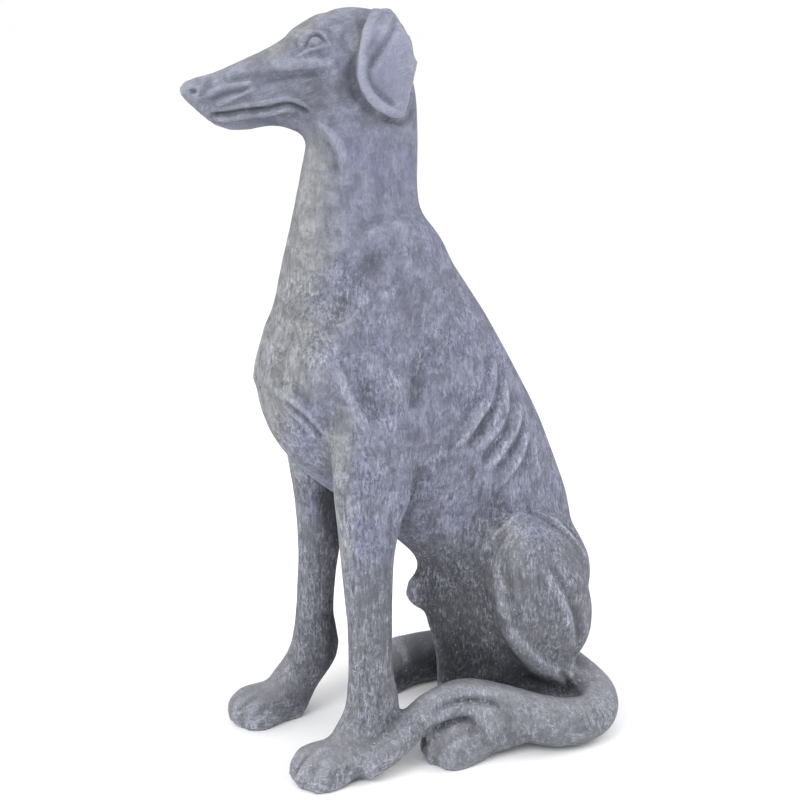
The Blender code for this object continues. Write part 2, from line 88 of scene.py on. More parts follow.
# Lines cut into the clay where the photograph shows them: its pixels, half width and depth in hundredths
# (below zero is a ridge).
HEAD_LINES = (
    # eye: lid line, lid crest, ball, lower lid, the line above it, inner corner and its bump, fold, pit
    (((305.5, 49), (306, 44), (307.5, 40), (310, 36.5), (314, 35), (318, 35), (322, 37.5), (325, 41),
      (327, 45)), 0.22, 0.27),
    (((306, 37), (309, 33), (313, 31.5), (318, 31.5), (323, 34), (327, 39)), 0.26, -0.18),
    (((311, 42.5), (316, 41), (321, 42)), 0.62, -0.14),
    (((327, 44), (322, 46.5), (316, 48.5), (310, 50), (305.5, 52), (301, 55.5), (295, 58)), 0.24, -0.28),
    (((308, 47.5), (314, 46.5), (320, 45)), 0.18, 0.12),
    (((297, 36), (296, 42), (297.5, 47), (301, 50)), 0.30, 0.20),
    (((303, 42), (303, 46)), 0.35, -0.14),
    (((323, 23), (328, 28), (331, 34), (333, 40), (340, 44)), 0.50, 0.24),
    (((314, 57), (321, 56), (330, 54), (336, 50)), 0.60, 0.24),
    # brow
    (((290, 42), (295, 29), (307, 20), (322, 18), (335, 28)), 0.90, -0.34),
    # cheekbone and the hollow under it
    (((258, 69), (280, 66), (298, 65), (314, 64), (328, 61), (338, 55)), 1.10, -0.44),
    (((250, 80), (272, 78), (296, 75), (313, 73), (330, 69), (342, 60)), 0.95, 0.42),
    (((296, 92), (316, 92), (338, 90)), 2.60, 0.40),
    # flews
    (((202, 98), (216, 90), (234, 85), (256, 83)), 0.42, -0.34),
    (((207, 103), (220, 96), (236, 91), (256, 85)), 0.36, 0.12),
    (((214, 106), (228, 100), (243, 94), (258, 87)), 0.34, -0.26),
    (((222, 82), (237, 78), (252, 76), (272, 74)), 0.60, 0.24),
    (((262, 92), (280, 90), (298, 92)), 1.40, 0.26),
    # mouth: upper lip, the line itself, lower lip
    (((236, 107), (252, 105), (266, 103), (280, 100), (290, 100), (300, 104), (309, 112)), 0.50, -0.30),
    (((209, 115), (227, 114), (242, 111), (255, 109), (267, 108), (280, 105), (291, 104), (301, 108),
      (311, 116)), 0.33, 0.46),
    (((211, 119), (227, 119), (242, 117), (258, 115), (272, 113), (288, 110), (300, 113)), 0.42, -0.32),
    # nose pad and nostril
    (((214, 79), (209, 85), (204, 92), (198, 99)), 0.50, 0.26),
    (((188, 93), (193, 91), (198, 94)), 0.34, 0.42),
    # ear: rim, flat above and narrow below, the line inside it, the flap's hollow, the shadow round it
    (((374, 12), (369, 26), (366, 40), (363, 56)), 0.80, -0.34),
    (((390, 12), (385, 26), (378, 40), (370, 54)), 0.80, -0.34),
    (((366, 50), (362, 64), (362, 78), (368, 92), (380, 104), (392, 111), (404, 116)), 0.50, -0.40),
    (((398, 16), (392, 32), (384, 46), (375, 58), (370, 70), (373, 84), (383, 96), (394, 104),
      (402, 108)), 0.48, 0.30),
    (((402, 34), (396, 52), (386, 68), (386, 82)), 1.80, 0.12),
    (((366, 14), (360, 28), (357, 45), (353, 60), (352, 76), (355, 92), (364, 107),
      (378, 118)), 0.62, 0.36),
    (((378, 118), (391, 122), (403, 124), (411, 115), (413, 100)), 0.50, 0.26),
    # the swelling at the back edge of the ear
    (((413, 52), (414, 64), (413, 78)), 1.10, -0.24),
    # throat and the tendons of the upper neck
    (((306, 120), (320, 124), (333, 135), (341, 148), (345, 168)), 0.75, -0.46),
    (((314, 130), (325, 140), (333, 154), (337, 174), (337, 190)), 0.85, 0.42),
    (((308, 130), (312, 146), (310, 164), (303, 186)), 0.90, -0.38),
    (((352, 122), (357, 140), (359, 165)), 1.30, 0.28),
)
BODY_LINES = (
    # neck and shoulder blade
    (((334, 196), (327, 222), (318, 244), (306, 268)), 1.6, 0.32),
    (((350, 172), (352, 200), (347, 226), (336, 250)), 1.4, -0.28),
    (((374, 168), (381, 196), (388, 214)), 1.6, 0.26),
    (((426, 214), (392, 227), (366, 239), (330, 257)), 1.5, -0.62),
    (((420, 236), (392, 248), (368, 262), (342, 286)), 2.0, 0.42),
    # the front edge of the shoulder and the muscle of the upper arm
    (((376, 278), (354, 294), (341, 308), (331, 322), (326, 336), (326, 352), (333, 368)), 1.9, 0.52),
    (((384, 300), (366, 314), (354, 330), (350, 348)), 2.4, -0.24),
    (((336, 358), (340, 374), (346, 390), (352, 402), (358, 413), (364, 423), (372, 435)), 0.85, -0.60),
    (((352, 344), (358, 372), (366, 392), (374, 408), (384, 424)), 2.0, 0.52),
    (((380, 404), (388, 416)), 1.5, 0.16),
    (((400, 360), (396, 390), (391, 415)), 2.2, -0.30),
    (((361, 434), (371, 438), (382, 438), (391, 444), (397, 451)), 0.65, 0.28),
    (((355, 422), (354, 436), (356, 454)), 0.6, 0.28),
    (((378, 446), (380, 457), (376, 469), (376, 485)), 0.8, -0.34),
    (((446, 282), (438, 316), (430, 346), (423, 372), (419, 396), (413, 436)), 1.9, 0.36),
    (((426, 318), (419, 342), (412, 362)), 1.6, -0.24),
    # breast bone and the folds in front of the armpit
    (((288, 312), (278, 334), (271, 353), (270, 367), (272, 383), (280, 394), (290, 402), (300, 410),
      (311, 420), (322, 432), (331, 446)), 0.95, -0.34),
    (((302, 314), (290, 338), (284, 355), (285, 372), (294, 388), (308, 402), (322, 418)), 1.0, 0.44),
    (((281, 401), (289, 408), (298, 417), (308, 427), (319, 442)), 0.50, -0.34),
    (((282, 397), (291, 406), (301, 414), (313, 426), (325, 442)), 0.45, 0.36),
    (((289, 461), (300, 471), (310, 479), (319, 486), (331, 496)), 0.9, -0.30),
    # ribs: crests, then the furrows between them
    (((484, 350), (481, 370), (474, 390), (464, 406)), 0.80, -0.24),
    (((494, 352), (494, 370), (493, 386), (489, 401), (481, 415), (472, 429), (463, 439),
      (450, 451)), 0.70, -0.40),
    (((505, 376), (506, 396), (505, 413), (498, 429), (488, 440), (472, 454)), 0.72, -0.40),
    (((518, 396), (520, 412), (517, 427), (509, 441), (499, 455), (480, 476)), 0.68, -0.38),
    (((528, 420), (526, 440), (519, 461), (508, 476), (494, 492)), 0.70, -0.30),
    (((537, 436), (535, 453), (539, 474), (534, 488)), 0.75, -0.24),
    (((488, 344), (487, 360), (485, 377), (480, 395), (470, 413), (455, 433)), 0.80, 0.28),
    (((499, 360), (500, 376), (500, 392), (495, 407), (486, 422), (473, 441), (458, 458)), 0.78, 0.32),
    (((512, 382), (513, 396), (512, 413), (507, 430), (497, 446), (477, 469)), 0.78, 0.32),
    (((523, 404), (524, 418), (520, 438), (510, 455), (490, 478)), 0.74, 0.30),
    (((533, 430), (529, 453), (519, 469), (505, 488)), 0.75, 0.24),
    # the fold from the flank to the knee
    (((516, 490), (500, 505), (484, 518), (470, 530)), 2.0, 0.20),
    (((478, 538), (486, 547), (493, 538), (505, 526), (517, 516), (530, 511)), 0.70, -0.34),
    # haunch: its crest, the line above it, the crisp edge of the shin, the inner furrow
    (((530, 511), (546, 517), (560, 525), (573, 540), (583, 555), (589, 574)), 0.75, -0.40),
    (((556, 519), (566, 527), (577, 537), (585, 550)), 0.60, 0.26),
    (((505, 546), (505, 566), (510, 586), (513, 606), (519, 626), (529, 641), (541, 652), (552, 661),
      (564, 666), (574, 668)), 0.65, 0.28),
    (((496, 553), (495, 576), (502, 601), (509, 624)), 1.10, -0.14),
    (((550, 556), (557, 574), (566, 589), (573, 606), (578, 622), (581, 644)), 0.75, 0.40),
    (((544, 562), (551, 580), (560, 597), (566, 614), (572, 634)), 0.90, -0.26),
    (((530, 556), (533, 590), (543, 622)), 1.8, 0.16),
    (((558, 668), (565, 676), (572, 687), (580, 697)), 0.60, 0.36),
    (((567, 670), (574, 682), (581, 693)), 0.50, -0.26),
)
# Lines on the tail and the paws, which have no twin.
GROUND_LINES = (
    # the tail over the left hind foot
    (((413, 704), (440, 692), (469, 689), (506, 693), (530, 701)), 0.90, -0.22),
    (((428, 717), (447, 705), (469, 701), (488, 702), (506, 708)), 0.60, 0.55),
    (((420, 727), (442, 717), (469, 712), (490, 711), (510, 714)), 1.10, -0.42),
    (((434, 742), (452, 730), (474, 722), (500, 717)), 1.10, -0.30),
    # its paw
    (((437, 751), (443, 744), (448, 739), (461, 732), (480, 727)), 0.50, 0.16),
    (((424, 735), (430, 728), (438, 722)), 0.50, 0.12),
    (((450, 748), (460, 740), (474, 736)), 0.60, -0.22),
    (((452, 760), (458, 752), (468, 746)), 0.60, 0.16),
    # left fore paw
    (((293, 776), (297, 769), (302, 761), (306, 756), (313, 753)), 0.34, 0.40),
    (((312, 757), (319, 752), (327, 746)), 0.50, -0.26),
    (((318, 768), (326, 762), (336, 758)), 0.55, -0.26),
    (((320, 758), (315, 767), (312, 777), (311, 786)), 0.50, 0.26),
    (((340, 764), (333, 772), (329, 784)), 0.50, 0.22),
    (((348, 762), (347, 770), (346, 780)), 0.36, 0.34),
    # right fore paw
    (((233, 712), (242, 706), (251, 699), (263, 693)), 0.42, 0.34),
    (((256, 720), (262, 711), (272, 701)), 0.50, 0.28),
    (((244, 713), (253, 705), (262, 699)), 0.55, -0.22),
)
# The middle of the tail, which its brush strokes follow: place and radius.
TAIL = (
    (0.0, -28.0, 6.2, 3.4),
    (6.0, -30.2, 4.9, 3.3),
    (12.4, -30.5, 4.2, 3.2),
    (16.2, -28.2, 3.6, 3.2),
    (17.0, -24.0, 3.4, 3.3),
    (15.8, -19.6, 4.1, 3.5),
    (13.9, -15.6, 6.0, 3.0),
    (12.4, -12.4, 7.5, 2.5),
    (11.7, -9.4, 8.0, 2.5),
    (11.6, -6.4, 7.8, 2.3),
    (11.9, -3.6, 6.9, 2.3),
    (12.5, -1.0, 5.6, 2.2),
    (13.3, 1.6, 4.1, 2.1),
    (13.8, 4.2, 2.9, 2.0),
    (13.9, 6.8, 1.7, 1.8),
)

# The brush went along the muzzle, the toes and the tail, and upright elsewhere. Its strokes are this many
# times longer than wide. There are none close to where they turn, and they fade in beyond that.
STROKE_LENGTH = 6.0
MUZZLE_SLOPE = math.radians(-16)
MUZZLE_BEHIND = 2.0
MUZZLE_BELOW = 84.5
TOES_ABOVE = 5.0
TOES_BEHIND = -25.0
TAIL_RADII = 1.35
TAIL_THICKNESS = 2.0
TURN_BARE = 0.3
TURN_FADE = 1.5

# Creases and hollows: the reach they are seen over, the step of the evening out, and their full depth.
CREASE = (4.5 * MM, 0.9 * MM, 1.1 * MM)
HOLLOW = (16 * MM, 1.8 * MM, 3.0 * MM)
WIDE_STEP = 3.6 * MM
FACING_REACH = 22 * MM
FORWARDS_FROM_ABOVE = 0.45

# Shelter from the open sky: the directions looked in, the part of the ball they cover, and the distances.
SKY_POINTS = 28
SKY_SPAN = 1.6
SKY_REACH = 0.22
SKIN_CLEAR = 1.5 * MM
GLANCING = 0.15
SHELTER_SPREAD = 8 * MM

# Inner sides of the legs and ears: where they begin, and over what distance.
INNER_BESIDE = (10, 4)
INNER_UP = (32, 10)
INNER_AHEAD = (14, 6)
EAR_BESIDE = (7.9, 0.8)
EAR_ABOVE = 85.5

# What the paint, and the painted light and shade, follow of the figure's own shape.
GUIDES = ("crease", "hollow", "shelter", "inner", "ear", "upwards", "forwards", "brushed")

# Patterns in the paint: their size in mm, what they are drawn over, detail, roughness and warp.
# On the real figure the crackle and the marks of single hairs are under 1 mm wide: they are drawn as coarse
# as they need to be to show.
PATTERNS = {
    # thicker and thinner paint, and the dabs it was put on with
    "patch_noise": (48, "object", 5, 0.62, 0.0),
    "blotch_noise": (17, "object", 5, 0.66, 0.5),
    # the unevenness of the casting
    "swell": (15, "object", 3, 0.5, 0.0),
    # open cracks in the paint, and its crackle
    "crack_noise": (9, "upright", 5, 0.68, 0.0),
    "crackle": (2.8, "upright", 4, 0.75, 0.3),
    # strokes of a tuft of the brush, and of a few hairs
    "swathes": (5.5, "brush", 4, 0.62, 0.0),
    "strokes": (2.0, "brush", 4, 0.62, 0.0),
}
UPRIGHT_STRETCH = (1, 1, 0.5)
SPECK_CELL = 7 * MM

# A mask is a product of steps. A step is a number, a name, or a name with where it begins, where it is full,
# and the least and most that it lets show (0 and 1 where they are left out). Heights are in metres.
MASKS = {
    "patches": (("patch_noise", 0.36, 0.64),),
    "blotches": (("blotch_noise", 0.36, 0.66),),
    "coarse": (("height", 0.58, 0.48, 0.35, 1.0), ("patches", 0.1, 0.9, 0.45, 1.0)),
    "streaky": (("height", 0.38, 0.26, 0.40, 1.0), "brushed"),
    "cracks": (("from_crack", 0.020, 0.004, 0.0, 0.62), "coarse"),
    "crest": (("crease", 0.47, 0.18),),
    "broken": (("strokes", 0.51, 0.66), "streaky"),
    "chalky": (("crackle", 0.49, 0.62), "coarse"),
}
# How much of the pale paint shows: the least, and what the blotches and the crests add.
PALE_LEAST = 0.12
PALE_SHARES = {"blotches": 0.38, "crest": 0.50}

# Relief of the paint and the casting under it, each beside a height of 1 for the strokes and the crackle.
RELIEF = {"cracks": -0.6, "swell": 4.0}
BUMP_STRENGTH = 0.6
BUMP_DEPTH = 1.0 * MM

# Coats of paint, and of painted light and shade, from the first to the last: the colour, and the steps of
# its mask.
# Painted light: the front grey and its coats are the paint as lit by the key lamp; the darker lavender side
# grey and its coats are the same paint in shade.
FRONT_GREY = "#77787a"
FRONT_COATS = (("#909192", "blotches"),)
SIDE_GREY = "#696b7b"
SIDE_COATS = (
    ("#818497", "blotches"),
    ("#797c97", ("patches", 0.45, 1.0, 0.0, 0.5)),
)
# The front's coats show where the greatest of these steps lets them: painted light where the figure faces
# forwards and up towards the key lamp, and the same neutral grey low down and a little on the head.
PLAIN_WHERE = (
    ("forwards", 0.34, 0.84),
    ("height", 0.26, 0.08, 0.0, 0.65),
    ("height", 0.56, 0.66, 0.0, 0.15),
)
TOP_COATS_AND_PAINTED_LIGHT = (
    # darker on the legs and feet, the more so towards the bottom
    ("#5f6064", ("height", 0.225, 0.205), ("height", 0.05, 0.10), 0.55),
    ("#5f6064", ("height", 0.25, 0.12, 0.0, 0.40)),
    # thin dark wash in the crackle and between the strokes
    ("#4c4e5a", ("crackle", 0.49, 0.36, 0.0, 0.42), "coarse"),
    ("#3e404c", "cracks"),
    ("#4e505a", ("swathes", 0.49, 0.36, 0.0, 0.66), "streaky"),
    # painted shade in the creases, and on the under sides of the head
    ("#3c3e46", ("crease", 0.53, 0.95, 0.0, 0.52)),
    ("#4a4c55", ("upwards", 0.35, -0.30, 0.0, 0.50), ("height", 0.60, 0.64)),
    # paler ears
    ("#9395ac", "ear", 0.40),
    # painted shade in the hollows, in sheltered places, and on the inner sides between the legs and under
    # the belly
    ("#3e4046", ("hollow", 0.54, 0.95, 0.0, 0.50), ("height", 0.60, 0.67, 1.0, 0.55)),
    ("#303236", ("shelter", 0.20, 0.62, 0.0, 0.85)),
    ("#36383c", "inner", 0.55),
    # pale dry brushing in broken strokes, and on the crests
    ("#b9bccb", "pale", "pale_amount", ("shelter", 0.75, 0.25, 0.35, 1.0)),
    ("#a9acba", "crest", 0.26),
    # painted light: paler where the tail and the paws face up
    ("#a6a7ad", ("upwards", 0.25, 0.90, 0.0, 0.30), ("height", 0.14, 0.08)),
    # small white specks, thickest low down
    ("#cfd1d8", ("from_speck", 0.13, 0.07), ("speck_draw", 0.60, 0.66), ("height", 0.10, 0.34, 0.60, 0.10)),
)

# The studio: each lamp's place and power in watts, how wide both are and what they point at.
LAMPS = {"key": ((0.9, -1.9, 2.0), 32), "back": ((0.6, 1.8, 1.6), 17)}
LAMP_WIDTH = 1.4
LAMP_TARGET = (0, 0, 0.4)
FLOOR_SIZE = 120


def linear(code):
    """A colour that shaders use, from its sRGB hex code."""
    parts = [int(code[i:i + 2], 16) / 255 for i in (1, 3, 5)]
    made = [p / 12.92 if p <= 0.04045 else ((p + 0.055) / 1.055) ** 2.4 for p in parts]
    return (*made, 1.0)


def metres(points):
    """Metres in the scene from (left, ahead, up) in hundredths."""
    points = (np.asarray(points, float) * (1, -1, 1)) - MIDDLE
    return points * HUNDREDTH


def hundredths(points):
    """(left, ahead, up) in hundredths from metres in the scene."""
    return (np.asarray(points, float) / HUNDREDTH + MIDDLE) * (1, -1, 1)


def camera():
    """The photograph's view."""
    lens = bpy.data.cameras.new("camera")
    lens.lens = LENS
    lens.sensor_width = SENSOR
    made = bpy.data.objects.new("camera", lens)
    bpy.context.scene.collection.objects.link(made)
    made.location = EYE_POINT
    made.rotation_euler = (math.pi / 2 - PITCH, 0, HEADING)
    bpy.context.scene.camera = made
    bpy.context.view_layer.update()
    return made


def sight(view, pixel):
    """The direction from the camera through a pixel of the photograph."""
    focal = LENS / SENSOR * FRAME
    across = pixel[0] - FRAME / 2
    down = pixel[1] - FRAME / 2
    return (view.matrix_world.to_3x3() @ Vector((across, -down, -focal))).normalized()


def read(mesh, what):
    """Each vertex's place or facing, one row each."""
    values = np.empty(len(mesh.vertices) * 3)
    mesh.vertices.foreach_get(what, values)
    return values.reshape(-1, 3)


def write(mesh, places):
    """Moves the vertices to these places."""
    mesh.vertices.foreach_set("co", places.ravel())
    mesh.update()


def neighbours(mesh):
    """Both ends of every edge, each way round, and how many edges each vertex has."""
    ends = np.empty(len(mesh.edges) * 2, int)
    mesh.edges.foreach_get("vertices", ends)
    ends = ends.reshape(-1, 2)
    here = np.concatenate([ends[:, 0], ends[:, 1]])
    there = np.concatenate([ends[:, 1], ends[:, 0]])
    return here, there, np.bincount(here, minlength=len(mesh.vertices))


def averaged(values, around):
    """Each vertex's values as the average over its neighbours."""
    here, there, count = around
    sums = [np.bincount(here, column[there], len(count)) for column in values.T]
    return np.stack(sums, 1) / count[:, None]


def even_out(mesh, rounds):
    """Smooths bumps away without thinning the limbs: a step in, then a slightly longer step out."""
    around = neighbours(mesh)
    places = read(mesh, "co")
    for _ in range(rounds):
        for step in (STEP_IN, STEP_OUT):
            places = places + step * (averaged(places, around) - places)
    write(mesh, places)


def only(thing):
    """Makes this the one selected object."""
    bpy.ops.object.select_all(action="DESELECT")
    thing.select_set(True)
    bpy.context.view_layer.objects.active = thing


def clay_copy(node):
    """The figure's solid, copied, merged and made even clay to carve."""
    figure = bpy.data.objects.new("greyhound", node.data.copy())
    bpy.context.scene.collection.objects.link(figure)
    only(figure)
    bpy.ops.object.mode_set(mode="EDIT")
    bpy.ops.mesh.select_all(action="SELECT")
    bpy.ops.mesh.remove_doubles(threshold=MERGE_WITHIN)
    bpy.ops.object.mode_set(mode="OBJECT")
    clay = figure.modifiers.new("clay", "REMESH")
    clay.mode = "VOXEL"
    clay.voxel_size = GRAIN
    bpy.ops.object.modifier_apply(modifier=clay.name)
    figure.data.materials.clear()
    even_out(figure.data, ROUNDS_WHOLE)
    return figure


def face_middles(mesh):
    """The middle of each face, in hundredths."""
    middles = np.empty(len(mesh.polygons) * 3)
    mesh.polygons.foreach_get("center", middles)
    return hundredths(middles.reshape(-1, 3))


def refine(figure, chosen):
    """Splits the chosen faces once, so that finer forms can be cut there."""
    only(figure)
    bpy.ops.object.mode_set(mode="EDIT")
    bpy.ops.mesh.select_mode(type="FACE")
    bpy.ops.mesh.select_all(action="DESELECT")
    bpy.ops.object.mode_set(mode="OBJECT")
    figure.data.polygons.foreach_set("select", chosen)
    bpy.ops.object.mode_set(mode="EDIT")
    bpy.ops.mesh.subdivide(number_cuts=1)
    bpy.ops.object.mode_set(mode="OBJECT")


def smooth_run(points):
    """The points on a smooth curve through them, with its own points put in between."""
    rows = np.asarray(points, float)
    padded = np.vstack([2 * rows[0] - rows[1], rows, 2 * rows[-1] - rows[-2]])
    made = []
    for before, start, end, after in zip(padded, padded[1:], padded[2:], padded[3:]):
        for t in np.arange(STEPS_BETWEEN) / STEPS_BETWEEN:
            slope = (end - before) * t
            bend = (2 * before - 5 * start + 4 * end - after) * t**2
            twist = (3 * start - before - 3 * end + after) * t**3
            made.append(start + (slope + bend + twist) / 2)
    return np.array(made + [rows[-1]])


def skin_of(mesh):
    """A tree to cast rays at the mesh with."""
    faces = [tuple(face.vertices) for face in mesh.polygons]
    return BVHTree.FromPolygons(read(mesh, "co").tolist(), faces)


def laid_on(skin, view, pixels):
    """The places on the figure that these pixels of the photograph show, in hundredths."""
    found = []
    for pixel in smooth_run(pixels):
        hit = skin.ray_cast(view.location, sight(view, pixel))[0]
        if hit is not None:
            found.append(hit)
    return hundredths(found)


def turned(points, angle):
    """The points turned about the upright line that the head turns on."""
    c, s = math.cos(angle), math.sin(angle)
    left, ahead, up = (points - (0, HEAD_PIVOT_AHEAD, 0)).T
    return np.stack([left * c - ahead * s, ahead * c + left * s, up], 1) + (0, HEAD_PIVOT_AHEAD, 0)


def twin(skin, line, on_head):
    """The same line on the dog's other side."""
    if on_head:
        line = turned(turned(line, -HEAD_TURN) * (-1, 1, 1), HEAD_TURN)
    else:
        line = line * (-1, 1, 1)
    nearest = [skin.find_nearest(Vector(point))[0] for point in metres(line)]
    return hundredths(nearest)


def cut_along(places, line, half_width, cut):
    """How deep the clay is cut at each place for one line, fading towards its ends."""
    depth = np.zeros(len(places))
    reach = CUT_WIDTHS * half_width
    inside = np.all((places > line.min(0) - reach) & (places < line.max(0) + reach), axis=1)
    near = places[inside]
    best = np.full(len(near), np.inf)
    along = np.zeros(len(near))
    so_far = 0.0
    for start, end in zip(line, line[1:]):
        step = end - start
        length = max(np.linalg.norm(step), 1e-6)
        t = np.clip((near - start) @ step / length**2, 0, 1)
        gap = np.linalg.norm(near - start - t[:, None] * step, axis=1)
        closer = gap < best
        best[closer] = gap[closer]
        along[closer] = so_far + t[closer] * length
        so_far += length
    fading = min(END_WIDTHS * half_width, END_SHARE * so_far)
    from_end = np.clip(np.minimum(along, so_far - along) / fading, 0, 1)
    ends = from_end**2 * (3 - 2 * from_end)
    depth[inside] = cut * np.exp(-((best / half_width) ** 2)) * ends
    return depth


def lines_on(figure, view, lines, on_head, both_sides):
    """The lines laid on the figure, with their twins: (places, half width, depth)."""
    skin = skin_of(figure.data)
    made = []
    for pixels, half_width, cut in lines:
        line = laid_on(skin, view, pixels)
        made.append((line, half_width, cut))
        if both_sides:
            made.append((twin(skin, line, on_head), half_width, cut))
    return made


def near_lines(points, lines, widest):
    """Which points lie close to one of the lines up to this half width."""
    close = np.zeros(len(points), bool)
    for line, half_width, _ in lines:
        if half_width <= widest:
            for place in line:
                close |= np.linalg.norm(points - place, axis=1) < NEAR_WIDTHS * half_width
    return close


def carve(figure, lines):
    """Cuts the lines along the surface's own facing."""
    mesh = figure.data
    places = hundredths(read(mesh, "co"))
    facing = read(mesh, "normal") * (1, -1, 1)
    depth = np.zeros(len(places))
    for line, half_width, cut in lines:
        depth += cut_along(places, line, half_width, cut)
    write(mesh, metres(places - facing * depth[:, None]))


def sit_on_ground(figure):
    """Sets the soles flat on the ground again."""
    places = read(figure.data, "co")
    places[places[:, 2] < GROUND_BELOW * HUNDREDTH, 2] = 0.0
    write(figure.data, places)


def spacing(mesh, around):
    """The mean length of the edges at each vertex, in metres."""
    here, there, count = around
    places = read(mesh, "co")
    lengths = np.linalg.norm(places[here] - places[there], axis=1)
    return np.bincount(here, lengths, len(count)) / count


def spread(mesh, values, reach, step):
    """The values, one row for each vertex, evened out over this reach, in steps of this size."""
    around = neighbours(mesh)
    share = 0.5 * np.clip((step / spacing(mesh, around)) ** 2, 0, 1)[:, None]
    for _ in range(round(2 * (reach / step) ** 2)):
        values = values + share * (averaged(values, around) - values)
    return values


def hollowness(mesh, reach, step, depth):
    """How far each vertex lies in a hollow of this reach: 0 on a crest, 0.5 on the flat, 1 at this depth."""
    places = read(mesh, "co")
    inwards = spread(mesh, places, reach, step) - places
    return np.clip(0.5 + np.einsum("ij,ij->i", inwards, read(mesh, "normal")) / (2 * depth), 0, 1)


def sky():
    """Directions spread evenly over all but the lowest part of a ball."""
    made = []
    for i in range(SKY_POINTS):
        up = 1 - SKY_SPAN * (i + 0.5) / SKY_POINTS
        angle = i * math.pi * (3 - math.sqrt(5))
        level = math.sqrt(1 - up * up)
        made.append(Vector((level * math.cos(angle), level * math.sin(angle), up)))
    return made


def sheltered(mesh):
    """The share of the open sky that the figure itself hides from each vertex."""
    skin = skin_of(mesh)
    places, facing = read(mesh, "co"), read(mesh, "normal")
    starts = places + facing * SKIN_CLEAR
    hidden = np.zeros(len(places))
    total = np.full(len(places), 1e-6)
    for way in sky():
        lit = facing @ np.array(way)
        for i in np.flatnonzero(lit > GLANCING):
            total[i] += lit[i]
            if skin.ray_cast(Vector(starts[i]), way, SKY_REACH)[0] is not None:
                hidden[i] += lit[i]
    return spread(mesh, (hidden / total)[:, None], SHELTER_SPREAD, WIDE_STEP)[:, 0]


def tail_way(places):
    """How far each place is from the middle of the tail, in radii, and its place along and round it."""
    rows = smooth_run(TAIL)
    line, radii = rows[:, :3], rows[:, 3]
    lengths = np.concatenate([[0], np.cumsum(np.linalg.norm(np.diff(line, axis=0), axis=1))])
    best = np.full(len(places), np.inf)
    along = np.zeros(len(places))
    offset = np.zeros((len(places), 2))
    for i, (start, end) in enumerate(zip(line, line[1:])):
        step = end - start
        t = np.clip((places - start) @ step / (step @ step), 0, 1)
        away = places - start - t[:, None] * step
        gap = np.linalg.norm(away, axis=1) / radii[i]
        level = np.cross(step, (0, 0, 1))
        level = level / np.linalg.norm(level)
        closer = gap < best
        best[closer] = gap[closer]
        along[closer] = lengths[i] + t[closer] * (lengths[i + 1] - lengths[i])
        offset[closer] = np.stack([away @ level, away[:, 2]], 1)[closer]
    return best, np.column_stack([offset, along / STROKE_LENGTH])


def brush_ways(mesh):
    """Where each vertex lies across and along the brush strokes, and how far it is from where they turn."""
    places = hundredths(read(mesh, "co"))
    head = turned(places, -HEAD_TURN)
    c, s = math.cos(MUZZLE_SLOPE), math.sin(MUZZLE_SLOPE)
    forwards = head[:, 1] * c + head[:, 2] * s
    above = head[:, 2] * c - head[:, 1] * s
    from_tail, on_tail = tail_way(places)
    muzzle = np.column_stack([head[:, 0], above, forwards / STROKE_LENGTH])
    toes = places / (1, STROKE_LENGTH, 1)
    ways = places / (1, 1, STROKE_LENGTH)
    fade = np.ones(len(places))
    for way, inside in (
        (muzzle, np.minimum(head[:, 1] - MUZZLE_BEHIND, places[:, 2] - MUZZLE_BELOW)),
        (toes, np.minimum(TOES_ABOVE - places[:, 2], places[:, 1] - TOES_BEHIND)),
        (on_tail, (TAIL_RADII - from_tail) * TAIL_THICKNESS),
    ):
        ways[inside > 0] = way[inside > 0]
        fade = np.minimum(fade, np.clip((np.abs(inside) - TURN_BARE) / TURN_FADE, 0, 1))
    return ways * HUNDREDTH, fade


def store(mesh, name, values):
    """Keeps one number or three for each vertex, for the material."""
    kind, what = ("FLOAT", "value") if values.ndim == 1 else ("FLOAT_VECTOR", "vector")
    held = mesh.attributes.new(name, kind, "POINT")
    held.data.foreach_set(what, values.astype(np.float32).ravel())


def head_on_facing(mesh, places):
    """The way each vertex faces, as if the head weren't turned."""
    facing = read(mesh, "normal") * (1, -1, 1)
    pivot = (0, HEAD_PIVOT_AHEAD, 0)
    unturned = turned(facing + pivot, -HEAD_TURN) - pivot
    return np.where(places[:, 2:] > HEAD_ABOVE, unturned, facing)


def short_of(values, limit):
    """1 well short of the limit and 0 past it; the limit is its place and the distance it takes."""
    return np.clip((limit[0] - values) / limit[1], 0, 1)


def inner_sides(places):
    """1 between the legs and under the belly, where the painted shade is darkest, and 0 outside."""
    beside, ahead, up = np.abs(places[:, 0]), places[:, 1], places[:, 2]
    return short_of(beside, INNER_BESIDE) * short_of(up, INNER_UP) * short_of(ahead, INNER_AHEAD)


def ear_flaps(places):
    """1 on the ears, which hang outside the cheeks, and 0 elsewhere."""
    beside = np.abs(turned(places, -HEAD_TURN)[:, 0])
    outside = np.clip((beside - EAR_BESIDE[0]) / EAR_BESIDE[1], 0, 1)
    return outside * np.clip(places[:, 2] - EAR_ABOVE, 0, 1)


def paint_and_shade_guides(mesh):
    """What the paint and the painted light and shade follow: creases, hollows, inner sides, ears, how the
    surface faces, and the brush.
    """
    places = hundredths(read(mesh, "co"))
    facing = spread(mesh, head_on_facing(mesh, places), FACING_REACH, WIDE_STEP)
    ways, fade = brush_ways(mesh)
    store(mesh, "crease", hollowness(mesh, *CREASE))
    store(mesh, "hollow", hollowness(mesh, *HOLLOW))
    store(mesh, "forwards", facing[:, 1] + FORWARDS_FROM_ABOVE * facing[:, 2])
    store(mesh, "upwards", facing[:, 2])
    store(mesh, "inner", inner_sides(places))
    store(mesh, "ear", ear_flaps(places))
    store(mesh, "brush", ways)
    store(mesh, "brushed", fade)


